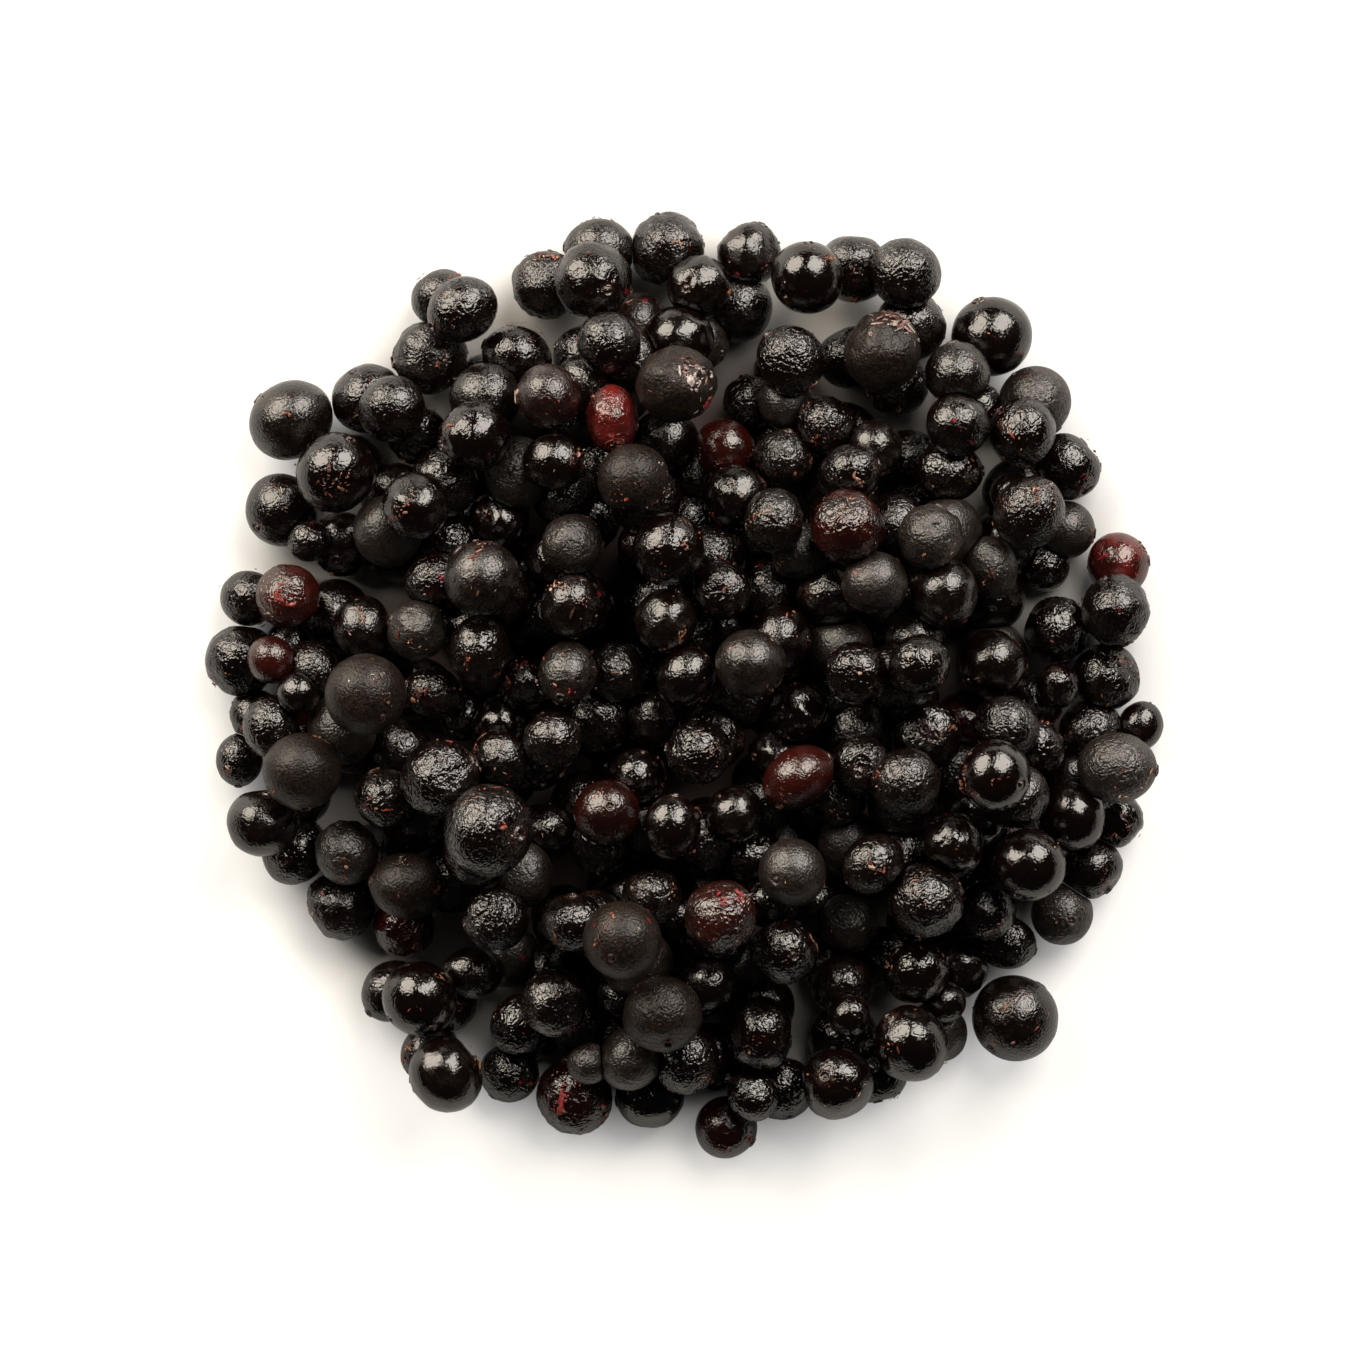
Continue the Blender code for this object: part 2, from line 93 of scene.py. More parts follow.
class Berry:
    """One berry of the heap: its solid, middle, shape and whether it shows."""

    def __init__(self, node, middle, shape, shown):
        self.node = node
        self.middle = middle
        self.shape = shape
        self.shown = shown
        self.radius = float(np.cbrt(np.linalg.det(shape)))
        self.in_clump = node.startswith("berry_clump")


def welded(node):
    """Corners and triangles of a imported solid, with repeated corners merged."""
    mesh = frame["nodes"][node].data
    mesh.calc_loop_triangles()
    places = np.array([vertex.co for vertex in mesh.vertices])
    keys = np.round(places / WELD).astype(np.int64)
    _, first, index = np.unique(keys, axis=0, return_index=True, return_inverse=True)
    index = index.reshape(-1)
    triangles = [index[list(triangle.vertices)] for triangle in mesh.loop_triangles]
    return places[first], np.array(triangles)


def lone_berry(node):
    """The berry of a solid that holds only one, round or oval.

    Over a ball's skin, the mean square of the distance along one axis is a third of the radius's.
    """
    corners, _ = welded(node)
    middle = corners.mean(axis=0)
    spread = (corners - middle).T @ (corners - middle) / len(corners)
    sizes, axes = np.linalg.eigh(3.0 * spread)
    return Berry(node, middle, axes @ np.diag(np.sqrt(sizes)) @ axes.T, True)


def facet_pairs(triangles):
    """For each edge between two triangles: its two corners and the corner opposite on each side."""
    opposite = {}
    for triangle in triangles:
        for turn in range(3):
            a, b, c = np.roll(triangle, turn)
            opposite.setdefault((min(a, b), max(a, b)), []).append(c)
    return np.array([(*edge, *ends) for edge, ends in opposite.items() if len(ends) == 2])


def middles_of(points):
    """Middle of the ball through each group of four points, and which groups are not flat."""
    sides = points[:, 1:] - points[:, :1]
    size = np.linalg.norm(sides, axis=2).max(axis=1)
    solid = np.abs(np.linalg.det(sides)) > FLAT * size ** 3
    sides, start = sides[solid], points[solid, 0]
    half = 0.5 * (sides ** 2).sum(axis=2)
    return start + np.linalg.solve(sides, half[..., None])[..., 0], solid


def clump_berries(node):
    """The berries of a clump: two neighbouring whole facets fix a ball, and most pairs agree."""
    corners, triangles = welded(node)
    pairs = facet_pairs(triangles)
    middles, solid = middles_of(corners[pairs])
    pairs = pairs[solid]
    edge = np.linalg.norm(corners[pairs[:, 0]] - corners[pairs[:, 1]], axis=1)
    radius = np.linalg.norm(middles - corners[pairs[:, 0]], axis=1)
    near = np.linalg.norm(middles[:, None] - middles[None], axis=2) < SAME_MIDDLE
    votes = near.sum(axis=1)
    found = []
    while votes.max() >= LEAST_VOTES:
        best = int(np.argmax(votes))
        same = near[best]
        middle = middles[same].mean(axis=0)
        size = float(np.median(radius[same]))
        shown = float(np.median(edge[same])) < FINE_EDGE * size
        found.append(Berry(node, middle, np.eye(3) * size, shown))
        votes[np.linalg.norm(middles - middle, axis=1) < 0.5 * size] = 0
    return found


def find_berries():
    """Every berry of the heap, in the order of the solids' names."""
    found = []
    for node in sorted(frame["nodes"]):
        if node.startswith("berry_clump"):
            found += clump_berries(node)
        else:
            found.append(lone_berry(node))
    return found


BERRIES = find_berries()


def select_faces(test):
    """In edit mode, select the faces whose middle passes the test."""
    bpy.ops.mesh.select_mode(type="FACE")
    bpy.ops.mesh.select_all(action="DESELECT")
    mesh = bmesh.from_edit_mesh(bpy.context.object.data)
    for face in mesh.faces:
        face.select_set(test(face.calc_center_median()))
    bmesh.update_edit_mesh(bpy.context.object.data)


def select_corners(test):
    """In edit mode, select the vertices whose place passes the test."""
    bpy.ops.mesh.select_mode(type="VERT")
    bpy.ops.mesh.select_all(action="DESELECT")
    mesh = bmesh.from_edit_mesh(bpy.context.object.data)
    for vertex in mesh.verts:
        vertex.select_set(test(vertex.co))
    bmesh.update_edit_mesh(bpy.context.object.data)


# Steps from a cap's edge to its middle: inset, rise and narrowing.
COLLAR_STEPS = ((0.075, 1.0, 1.0), (0.055, -1.6, 0.75), (0.04, 0.5, 0.8))
SCAR_STEPS = ((0.10, 0.05, 0.8), (0.03, -0.07, 0.9))


def step_inwards(steps, height):
    """Inset the selected faces, raise them and narrow them, step by step."""
    for inset, rise, narrowing in steps:
        bpy.ops.mesh.inset(thickness=inset)
        bpy.ops.mesh.extrude_region_move(TRANSFORM_OT_translate={"value": (0.0, 0.0, rise * height)})
        bpy.ops.transform.resize(value=(narrowing, narrowing, 1.0), center_override=(0.0, 0.0, 0.0))


def shape_collar(height, lobes):
    """Raise the calyx's collar round the upper pole, with a pit in it and five lobes on it."""
    select_faces(lambda middle: middle.z > CAP_HEIGHT)
    step_inwards(COLLAR_STEPS, height)
    if lobes > 0.0:
        select_corners(lambda place: place.z > 0.97 + 0.5 * height
                       and 0.12 < math.hypot(place.x, place.y) < 0.21
                       and math.cos(5 * math.atan2(place.y, place.x)) > 0.75)
        bpy.ops.transform.resize(value=(1.0 + lobes, 1.0 + lobes, 1.0 + 0.4 * lobes * height),
                                 center_override=(0.0, 0.0, 0.9))


def shape_scar():
    """Sink the scar of the stalk into the lower pole, with its torn stub."""
    select_faces(lambda middle: middle.z < -CAP_HEIGHT)
    step_inwards(SCAR_STEPS, 1.0)


def press_in(direction, depth, reach):
    """Press a soft dent into the side of the berry."""
    towards = Vector(direction).normalized()
    bpy.ops.mesh.select_mode(type="VERT")
    bpy.ops.mesh.select_all(action="DESELECT")
    mesh = bmesh.from_edit_mesh(bpy.context.object.data)
    nearest = max(mesh.verts, key=lambda vertex: vertex.co.dot(towards))
    nearest.select_set(True)
    bmesh.update_edit_mesh(bpy.context.object.data)
    bpy.ops.transform.translate(value=tuple(-depth * towards), use_proportional_edit=True,
                                proportional_edit_falloff="SMOOTH", proportional_size=reach)


def displace(thing, pattern, size, strength):
    """Move the skin in and out by a procedural pattern."""
    texture = bpy.data.textures.new(thing.name + "_" + pattern.lower(), pattern)
    texture.noise_scale = size
    bulge = thing.modifiers.new("bulge", "DISPLACE")
    bulge.texture = texture
    bulge.texture_coords = "LOCAL"
    bulge.strength = strength
    bulge.mid_level = 0.5
    bpy.ops.object.modifier_apply(modifier=bulge.name)
    bpy.data.textures.remove(texture)


def smooth(thing, levels):
    """Round the modelled mesh off with a subdivision surface."""
    rounding = thing.modifiers.new("rounding", "SUBSURF")
    rounding.levels = levels
    rounding.render_levels = levels
    bpy.ops.object.modifier_apply(modifier=rounding.name)


def keep_marks(thing):
    """Bring the widest radius back to one and mark the calyx and the scar on the mesh."""
    mesh = thing.data
    places = np.empty(3 * len(mesh.vertices))
    mesh.vertices.foreach_get("co", places)
    places = places.reshape(-1, 3)
    distance = np.linalg.norm(places, axis=1)
    places /= np.percentile(distance, 80)
    mesh.vertices.foreach_set("co", places.ravel())
    across = np.hypot(places[:, 0], places[:, 1])
    upper = np.clip((COLLAR_REACH - across) / (0.5 * COLLAR_REACH), 0.0, 1.0) * (places[:, 2] > 0)
    lower = np.clip((SCAR_REACH - across) / (0.5 * SCAR_REACH), 0.0, 1.0) * (places[:, 2] < 0)
    mesh.attributes.new("calyx", "FLOAT", "POINT").data.foreach_set("value", upper + lower)


def start_ball(name, segments, rings):
    """Add the ball that a berry is modelled from and open it for editing."""
    bpy.ops.object.select_all(action="DESELECT")
    bpy.ops.mesh.primitive_uv_sphere_add(segments=segments, ring_count=rings, radius=1.0)
    ball = bpy.context.object
    ball.name = name
    ball.data.name = name
    bpy.ops.object.mode_set(mode="EDIT")
    return ball


def model_berry(name):
    """Model one berry shape; return its mesh.  A hidden berry goes without its calyx and scar."""
    shape = bpy.context.scene.elderberry_shape
    hidden = name == "hidden"
    ringed = name in ("ringed", "split")
    ball = start_ball(name, *(HIDDEN_BALL if hidden else SHOWN_BALL))
    if not hidden:
        shape_collar(shape.collar_height * (1.6 if ringed else 1.0), 0.0 if ringed else 0.25)
        shape_scar()
    for number, direction in enumerate(DENTS.get(name, ())):
        press_in(direction, shape.dent_depth * (1.0 - 0.2 * number), 0.75 - 0.12 * number)
    if name == "split":
        shape_split()
    bpy.ops.object.mode_set(mode="OBJECT")
    smooth(ball, 2 if name in ("pebbled", "split") else 1)
    for pattern, size, strength in BULGES.get(name, ()):
        displace(ball, pattern, size, strength * shape.wrinkle_depth)
    ball.data.transform(Matrix.Diagonal((*STRETCHES.get(name, (1.0, 1.0, 1.0)), 1.0)))
    keep_marks(ball)
    ball.data.shade_smooth()
    mesh = ball.data
    bpy.data.objects.remove(ball, do_unlink=True)
    return mesh


def shape_split():
    """Open a crack down one side of the berry."""
    select_faces(lambda middle: middle.x > 0.0 and abs(math.atan2(middle.y, middle.x)) < 0.17
                 and abs(middle.z - 0.15) < 0.62)
    bpy.ops.mesh.inset(thickness=0.07)
    bpy.ops.mesh.extrude_region_move(TRANSFORM_OT_translate={"value": (-0.10, 0.0, 0.0)})
    bpy.ops.transform.resize(value=(1.0, 0.5, 0.94), center_override=(0.9, 0.0, 0.15))


# Where each shape is pressed in, its bulges (pattern, size, strength) and its stretch.
DENTS = {
    "dented": ((1.0, 0.2, 0.5), (-0.6, 0.7, 0.1), (0.1, -1.0, -0.3)),
    "wrinkled": ((0.3, 1.0, 0.4), (-0.8, -0.5, 0.5)),
    "ringed": ((0.2, -0.3, 1.0),),
    "shrunken": ((1.0, 0.0, 0.6), (-0.5, 0.8, 0.4), (-0.4, -0.9, 0.2), (0.4, 0.3, -1.0)),
    "hidden": ((1.0, 0.4, 0.3),),
}
BULGES = {
    "plump": (("CLOUDS", 0.9, 0.05),),
    "egg": (("CLOUDS", 0.7, 0.06),),
    "dented": (("CLOUDS", 0.55, 0.09),),
    "lumpy": (("CLOUDS", 0.5, 0.17), ("CLOUDS", 0.22, 0.05)),
    "wrinkled": (("CLOUDS", 0.32, 0.12), ("STUCCI", 0.2, 0.04)),
    "ringed": (("CLOUDS", 0.6, 0.08),),
    "pebbled": (("CLOUDS", 0.6, 0.07), ("CLOUDS", 0.12, 0.05)),
    "shrunken": (("CLOUDS", 0.4, 0.20), ("CLOUDS", 0.16, 0.06)),
    "split": (("CLOUDS", 0.45, 0.12), ("CLOUDS", 0.14, 0.04)),
    "hidden": (("CLOUDS", 0.6, 0.08),),
}
STRETCHES = {"egg": (0.97, 0.95, 1.07), "plump": (1.0, 1.0, 0.95), "ringed": (1.02, 1.0, 0.93),
             "dented": (1.0, 0.96, 0.98)}


def berry_mesh(name):
    """The mesh of one berry shape, modelled the first time that it is wanted."""
    key = "berry_shape_" + name
    if key not in bpy.data.meshes:
        mesh = model_berry(name)
        mesh.name = key
        mesh.use_fake_user = True
    return bpy.data.meshes[key]


def random_turn(rng):
    """A turn that brings the calyx mostly to the side."""
    return pole_turn(rng.normal(size=3) * (1.0, 1.0, 0.45), rng.uniform(0.0, 2 * math.pi))


def pole_turn(direction, spin):
    """The turn that brings the calyx to a direction."""
    towards = Vector(direction).normalized().to_track_quat("Z", "Y").to_matrix()
    return np.array(towards @ Matrix.Rotation(spin, 3, "Z"))


def press_flat(places, berry):
    """Flatten a berry where it lies against its neighbours and on the floor."""
    for other in BERRIES:
        span = other.middle - berry.middle
        distance = float(np.linalg.norm(span))
        if other is berry or distance > 1.05 * (berry.radius + other.radius):
            continue
        towards = span / distance
        meeting = 0.5 * (distance + (berry.radius ** 2 - other.radius ** 2) / distance)
        beyond = (places - berry.middle) @ towards - (meeting - CONTACT_GAP_MM * MM)
        places -= np.maximum(beyond, 0.0)[:, None] * towards
    np.maximum(places[:, 2], 0.0, out=places[:, 2])


def place_berry(berry, shape_name, turn, look):
    """Copy a berry shape to one berry's place; look is red, frost, wetness and crinkle."""
    mesh = berry_mesh(shape_name).copy()
    places = np.empty(3 * len(mesh.vertices))
    mesh.vertices.foreach_get("co", places)
    places = places.reshape(-1, 3) @ turn.T @ berry.shape.T + berry.middle
    press_flat(places, berry)
    mesh.vertices.foreach_set("co", places.ravel())
    colours = mesh.attributes.new("look", "FLOAT_COLOR", "POINT")
    colours.data.foreach_set("color", np.tile(look, len(mesh.vertices)))
    mesh.update()
    thing = bpy.data.objects.new(berry.node + "_copy", mesh)
    bpy.context.scene.collection.objects.link(thing)
    return thing


def join_as(name, things):
    """Join copies into one piece."""
    if not things:
        raise RuntimeError(name + " has nothing to join")
    bpy.ops.object.select_all(action="DESELECT")
    for thing in things:
        thing.select_set(True)
    bpy.context.view_layer.objects.active = things[0]
    if len(things) > 1:
        bpy.ops.object.join()
    things[0].name = name
    things[0].data.name = name
    return things[0]


def slot_of(node):
    """The record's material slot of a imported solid."""
    for row in frame["record"]["subparts"]:
        if row["node"] == node:
            return row["material_slot"]
    raise RuntimeError(node + " has no material slot")


def stand_for(piece, node, material):
    """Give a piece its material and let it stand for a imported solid."""
    piece.data.materials.clear()
    piece.data.materials.append(material)
    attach(piece, "root")
    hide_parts(node)
    slot_of(node)


class Wire:
    """A shader value that Python's signs work on; each sign adds a Math node."""

    def __init__(self, recipe, socket):
        self.recipe = recipe
        self.socket = socket

    def math(self, operation, first, second):
        """Add a Math node."""
        return self.recipe.node("ShaderNodeMath", {"operation": operation}, {0: first, 1: second})

    def __add__(self, other):
        return self.math("ADD", self, other)

    __radd__ = __add__

    def __mul__(self, other):
        return self.math("MULTIPLY", self, other)

    __rmul__ = __mul__

    def __sub__(self, other):
        return self.math("SUBTRACT", self, other)

    def __rsub__(self, other):
        return self.math("SUBTRACT", other, self)

    def between(self, low, high):
        """Zero at low, one at high and smooth between them."""
        return self.recipe.node("ShaderNodeMapRange", {"interpolation_type": "SMOOTHSTEP"},
                                {"Value": self, "From Min": low, "From Max": high})


class Recipe:
    """One material while its nodes are added."""

    def __init__(self, name, numbers=()):
        self.material = bpy.data.materials.new(name)
        self.material.use_nodes = True
        self.tree = self.material.node_tree
        self.shader = self.tree.nodes["Principled BSDF"]
        for socket, value in dict(numbers).items():
            self.shader.inputs[socket].default_value = value

    def node(self, kind, settings, sockets, output=0):
        """Add a node with its settings and its sockets' values or links; return one output."""
        made = self.tree.nodes.new(kind)
        for key, value in settings.items():
            setattr(made, key, value)
        for key, value in sockets.items():
            if isinstance(value, Wire):
                self.tree.links.new(value.socket, made.inputs[key])
            else:
                made.inputs[key].default_value = value
        return Wire(self, made.outputs[output])

    def places(self):
        """Object coordinates in millimetres."""
        place = self.node("ShaderNodeTexCoord", {}, {}, "Object")
        return self.node("ShaderNodeVectorMath", {"operation": "SCALE"}, {0: place, "Scale": 1000.0})

    def noise(self, places, scale, detail=2.0, roughness=0.5, distortion=0.0):
        """Noise with a scale in features per millimetre."""
        return self.node("ShaderNodeTexNoise", {},
                         {"Vector": places, "Scale": scale, "Detail": detail,
                          "Roughness": roughness, "Distortion": distortion}, "Fac")

    def cells(self, places, scale):
        """Distance to the nearest of scattered points, with a scale in points per millimetre."""
        return self.node("ShaderNodeTexVoronoi", {}, {"Vector": places, "Scale": scale}, "Distance")

    def mix(self, mask, first, second):
        """Mix two colours by a mask."""
        return self.node("ShaderNodeMix", {"data_type": "RGBA"},
                         {0: mask, 6: first, 7: second}, 2)

    def attribute(self, name, output):
        """A value stored on the mesh."""
        return self.node("ShaderNodeAttribute", {"attribute_name": name}, {}, output)

    def looks(self):
        """Red, frost, wetness and crinkle of the berry."""
        colour = self.attribute("look", "Color")
        split = self.node("ShaderNodeSeparateColor", {}, {0: colour}, "Red")
        parts = split.socket.node.outputs
        crinkle = self.attribute("look", "Alpha")
        return [split, Wire(self, parts["Green"]), Wire(self, parts["Blue"]), crinkle]

    def finish(self, colour, roughness, height, depth_mm):
        """Link the shader's colour, roughness and bump; return the material."""
        bump = self.node("ShaderNodeBump", {}, {"Height": height, "Distance": depth_mm * MM}, "Normal")
        for socket, wire in (("Base Color", colour), ("Roughness", roughness), ("Normal", bump)):
            self.tree.links.new(wire.socket, self.shader.inputs[socket])
        return self.material


def opaque(tint):
    """A colour socket's value."""
    return (*tint, 1.0)


def skin(name, ripe, red, shine=0.8):
    """Skin of the berries: ripe and red colours, frost, wet patches, grain, wrinkles and nicks."""
    tints = bpy.context.scene.elderberry_skins
    recipe = Recipe(name, {"Specular IOR Level": shine})
    places = recipe.places()
    redness, frost, wet, crinkle = recipe.looks()
    calyx = recipe.attribute("calyx", "Fac")
    broad = recipe.noise(places, 0.45, 2.0)
    blotch = recipe.noise(places, 1.3, 3.0, 0.6)
    wrinkle = recipe.noise(places, 2.2, 1.0, 0.5, 0.9)
    grain = recipe.noise(places, 4.5, 1.5, 0.5)
    specks = recipe.cells(places, 3.0)
    nicks = recipe.cells(places, 0.24)
    dry = blotch.between(0.40, 0.62)
    frosted = (frost * 1.25 - (1.0 - blotch) * 0.45).between(0.0, 0.55)
    reddened = (redness * 1.6 - broad * 1.1).between(0.0, 0.5)
    colour = recipe.mix(reddened, opaque(ripe), opaque(red))
    speckle = grain.between(0.35, 0.65) * 0.85 + 0.15
    colour = recipe.mix(frosted * speckle, colour, opaque(tints.frost))
    crumbly = (blotch + frosted * 0.05).between(0.50, 0.58)
    crumb = specks.between(0.20, 0.09) * crumbly * (1.0 - wet * 0.7)
    colour = recipe.mix(crumb * 0.8, colour, opaque(tints.crumb))
    scorched = calyx * grain.between(0.35, 0.7)
    colour = recipe.mix(scorched * 0.85, colour, opaque(tints.calyx))
    nicked = nicks.between(0.09, 0.05) * blotch.between(0.50, 0.56)
    colour = recipe.mix(nicked, colour, opaque(tints.flesh))
    roughness = 0.12 + dry * 0.07 + frosted * 0.20 - wet * 0.06 + grain * 0.05 + scorched * 0.2
    height = grain * (0.76 - wet * 0.50) + wrinkle * (crinkle * 1.7 + 0.15) + broad * 0.9
    return recipe.finish(colour, roughness, height, SKIN_DEPTH_MM)


def ensure_material(name, make):
    """A material by name, made the first time that it is wanted."""
    return bpy.data.materials.get(name) or make(name)


def ripe_skin(name):
    """Near-black skin."""
    tints = bpy.context.scene.elderberry_skins
    return skin(name, tints.ripe, tints.dark_red)


def dusky_skin(name):
    """Nearly black skin with wine-red patches."""
    tints = bpy.context.scene.elderberry_skins
    return skin(name, tints.dusky, tints.dark_red)


def wine_skin(name):
    """Skin that never ripened to black."""
    tints = bpy.context.scene.elderberry_skins
    return skin(name, tints.dark_red, tints.bright_red)


def frosted_skin(name):
    """Dull skin under a thin frost."""
    tints = bpy.context.scene.elderberry_skins
    return skin(name, tints.ripe, tints.dark_red, DULL_SHINE)


def tinted(name, roughness):
    """A material that takes its colour from each crumb's own tint."""
    recipe = Recipe(name)
    places = recipe.places()
    tint = recipe.attribute("look", "Color")
    mottle = recipe.noise(places, 6.0, 2.0)
    colour = recipe.mix(mottle.between(0.3, 0.75) * 0.5, tint, opaque(DRIED_JUICE))
    return recipe.finish(colour, mottle * 0.2 + roughness, mottle, TINY_DEPTH_MM)


SHADE_UNDER_HEAP = (0.07, 0.045, 0.040)      # the board darkened under the heap: painted shade, in a dark brown tint
SHADE_UNDER_HEAP_MM = (22.0, 37.0)           # the painted shade fades out between these distances from the middle
GLOW_MM = (35.0, 43.0)            # the light from below fades in
EDGE_MM = (450.0, 1000.0)         # and grows to that of the backdrop
GLOW_FELT = 0.2                   # share of that light that reaches the berries


def floor_surface(name):
    """Matt pale board, lit from below: a little round the heap and more towards its edge."""
    stage = bpy.context.scene.elderberry_stage
    recipe = Recipe(name, {"Emission Strength": stage.edge_glow})
    places = recipe.places()
    tone = recipe.noise(places, 0.01, 2.0)
    white = tuple(stage.floor_colour)
    shade = tuple(0.985 * value for value in white)
    colour = recipe.mix(tone, opaque(white), opaque(shade))
    outward = recipe.node("ShaderNodeVectorMath", {"operation": "LENGTH"}, {0: places}, "Value")
    # Painted shade under the heap: the board darkens towards the middle, and so does the floor seen
    # between the berries.
    colour = recipe.mix(outward.between(*SHADE_UNDER_HEAP_MM), opaque(SHADE_UNDER_HEAP), colour)
    near = stage.floor_glow / stage.edge_glow
    glow = recipe.mix(outward.between(*GLOW_MM), BLACK, (near, 0.985 * near, 0.96 * near, 1.0))
    glow = recipe.mix(outward.between(*EDGE_MM), glow, opaque(BACKDROP))
    seen = recipe.node("ShaderNodeLightPath", {}, {}, "Is Camera Ray")
    glow = recipe.mix(seen * (1.0 - GLOW_FELT) + GLOW_FELT, BLACK, glow)
    recipe.tree.links.new(glow.socket, recipe.shader.inputs["Emission Color"])
    return recipe.finish(colour, tone * 0.1 + 0.5, recipe.noise(places, 1.5, 2.0), BOARD_DEPTH_MM)


def clump_look(rng):
    """Red, frost, wetness and crinkle of an everyday berry."""
    red = rng.choice((0.02, 0.25, 0.50), p=(0.86, 0.12, 0.02))
    frost = rng.choice((0.0, 0.30, 0.65), p=(0.60, 0.28, 0.12))
    wet = 0.0 if frost > 0.5 else rng.choice((0.2, 0.6, 1.0), p=(0.30, 0.35, 0.35))
    return (red + rng.uniform(0.0, 0.1), frost, wet, rng.uniform(0.0, 1.0))


# Shape, look (red, frost, wetness, crinkle) and the calyx's direction of the berries that stand out.
STANDOUTS = {
    "frosted_berry_01": ("lumpy", (0.10, 0.95, 0.0, 0.3), (0.3, 0.6, 0.7)),
    "frosted_berry_02": ("plump", (0.05, 0.75, 0.1, 0.3), (0.5, -0.7, 0.3)),
    "frosted_berry_03": ("plump", (0.05, 0.40, 0.2, 0.2), (-0.6, 0.7, 0.1)),
    "frosted_berry_04": ("egg", (0.12, 0.45, 0.1, 0.4), (-0.2, -0.7, 0.6)),
    "frosted_berry_05": ("plump", (0.05, 1.00, 0.0, 0.1), (-0.4, 0.5, -0.6)),
    "frosted_berry_06": ("plump", (0.10, 1.10, 0.0, 0.1), (0.1, -0.9, 0.3)),
    "frosted_berry_07": ("egg", (0.05, 0.70, 0.2, 0.3), (-0.8, 0.1, 0.2)),
    "frosted_berry_08": ("plump", (0.02, 1.00, 0.0, 0.1), (0.3, 0.4, -0.8)),
    "frosted_berry_09": ("ringed", (0.10, 0.75, 0.2, 0.7), (0.1, -0.8, 0.5)),
    "frosted_berry_10": ("plump", (0.02, 1.00, 0.0, 0.1), (0.5, 0.2, -0.8)),
    "frosted_berry_11": ("plump", (0.02, 0.45, 0.3, 0.1), (-0.3, -0.9, 0.0)),
    "frosted_berry_12": ("lumpy", (0.08, 0.95, 0.1, 0.5), (0.2, 0.9, 0.2)),
    "glossy_berry_01": ("plump", (0.0, 0.0, 1.0, 0.1), (-0.3, 0.8, 0.3)),
    "glossy_berry_02": ("plump", (0.0, 0.0, 1.0, 0.1), (0.7, 0.5, -0.2)),
    "glossy_berry_03": ("dented", (0.0, 0.0, 0.9, 0.3), (-0.3, 0.2, 0.9)),
    "glossy_berry_04": ("dented", (0.0, 0.0, 1.0, 0.2), (-0.5, 0.6, 0.4)),
    "glossy_berry_05": ("shrunken", (0.0, 0.0, 1.0, 0.6), (0.2, -0.9, 0.2)),
    "glossy_berry_06": ("plump", (0.0, 0.0, 1.0, 0.0), (0.6, 0.6, -0.5)),
    "glossy_berry_07": ("pebbled", (0.0, 0.0, 0.8, 0.3), (-0.3, -0.8, 0.3)),
    "glossy_berry_08": ("ringed", (0.05, 0.2, 0.7, 0.8), (0.7, -0.1, 0.6)),
    "glossy_berry_09": ("egg", (0.0, 0.0, 1.0, 0.2), (0.1, 0.9, 0.2)),
    "glossy_berry_10": ("plump", (0.0, 0.0, 1.0, 0.0), (0.3, 0.9, -0.4)),
    "glossy_berry_11": ("plump", (0.0, 0.0, 1.0, 0.0), (-0.7, 0.2, -0.6)),
    "lone_berry_01": ("plump", (0.03, 0.30, 0.3, 0.2), (0.5, 0.6, -0.3)),
    "lone_berry_02": ("plump", (0.0, 0.35, 0.3, 0.1), (-0.7, 0.5, -0.2)),
    "split_berry_01": ("split", (0.30, 0.2, 0.6, 0.8), (-0.2, 0.9, 0.2)),
    "wine_berry_01": ("plump", (0.45, 0.1, 0.7, 0.2), (0.9, 0.1, 0.1)),
    "wine_berry_02": ("plump", (0.20, 0.1, 0.7, 0.3), (0.9, -0.5, 0.2)),
    "wine_berry_03": ("lumpy", (0.30, 0.3, 0.5, 0.6), (-0.5, -0.6, 0.5)),
    "wine_berry_04": ("wrinkled", (0.45, 0.1, 0.9, 0.5), (0.4, -0.6, 0.6)),
    "wine_berry_05": ("plump", (0.30, 0.35, 0.3, 0.2), (0.7, 0.5, 0.2)),
    "wine_berry_06": ("lumpy", (0.52, 0.1, 0.7, 0.8), (0.0, -0.8, 0.5)),
    "wine_berry_07": ("plump", (0.30, 0.45, 0.2, 0.2), (-0.8, 0.3, 0.2)),
    "wine_berry_08": ("plump", (0.40, 0.15, 0.6, 0.3), (0.1, 0.2, 1.0)),
    "wine_berry_09": ("wrinkled", (0.50, 0.3, 0.5, 0.9), (0.6, 0.5, 0.4)),
    "wine_berry_10": ("plump", (0.24, 0.10, 0.3, 0.3), (0.9, 0.6, 0.1)),
}


def named(kind, numbers):
    """The nodes of one kind of berry."""
    return tuple(f"{kind}_berry_{number:02d}" for number in numbers)


# The skin of the berries that stand out.
FINISHES = {
    named("wine", (1, 3, 6, 10)): ("unripe_berry_skin", wine_skin),
    named("wine", (2, 4, 5, 7, 8, 9)) + named("split", (1,)): ("dusky_berry_skin", dusky_skin),
    named("frosted", (1, 2, 5, 6, 7, 8, 9, 12)): ("frosted_berry_skin", frosted_skin),
    named("frosted", (3, 4, 10, 11)) + named("glossy", range(1, 12)) + named("lone", (1, 2)):
        ("ripe_berry_skin", ripe_skin),
}


class ElderberryShape(bpy.types.PropertyGroup):
    """How the berries are modelled."""

    collar_height: FloatProperty(
        name="Collar height", description="Height of the calyx's collar, as a part of the radius",
        default=0.045, min=0.0, max=0.2)
    dent_depth: FloatProperty(
        name="Dent depth", description="Depth of a soft berry's first dent, as a part of the radius",
        default=0.16, min=0.0, max=0.5)
    wrinkle_depth: FloatProperty(
        name="Wrinkle depth", description="How strongly the skins bulge and wrinkle",
        default=1.0, min=0.0, max=3.0)
    seed: IntProperty(
        name="Seed", description="Draws each berry's turn, shape and look", default=5, min=0)


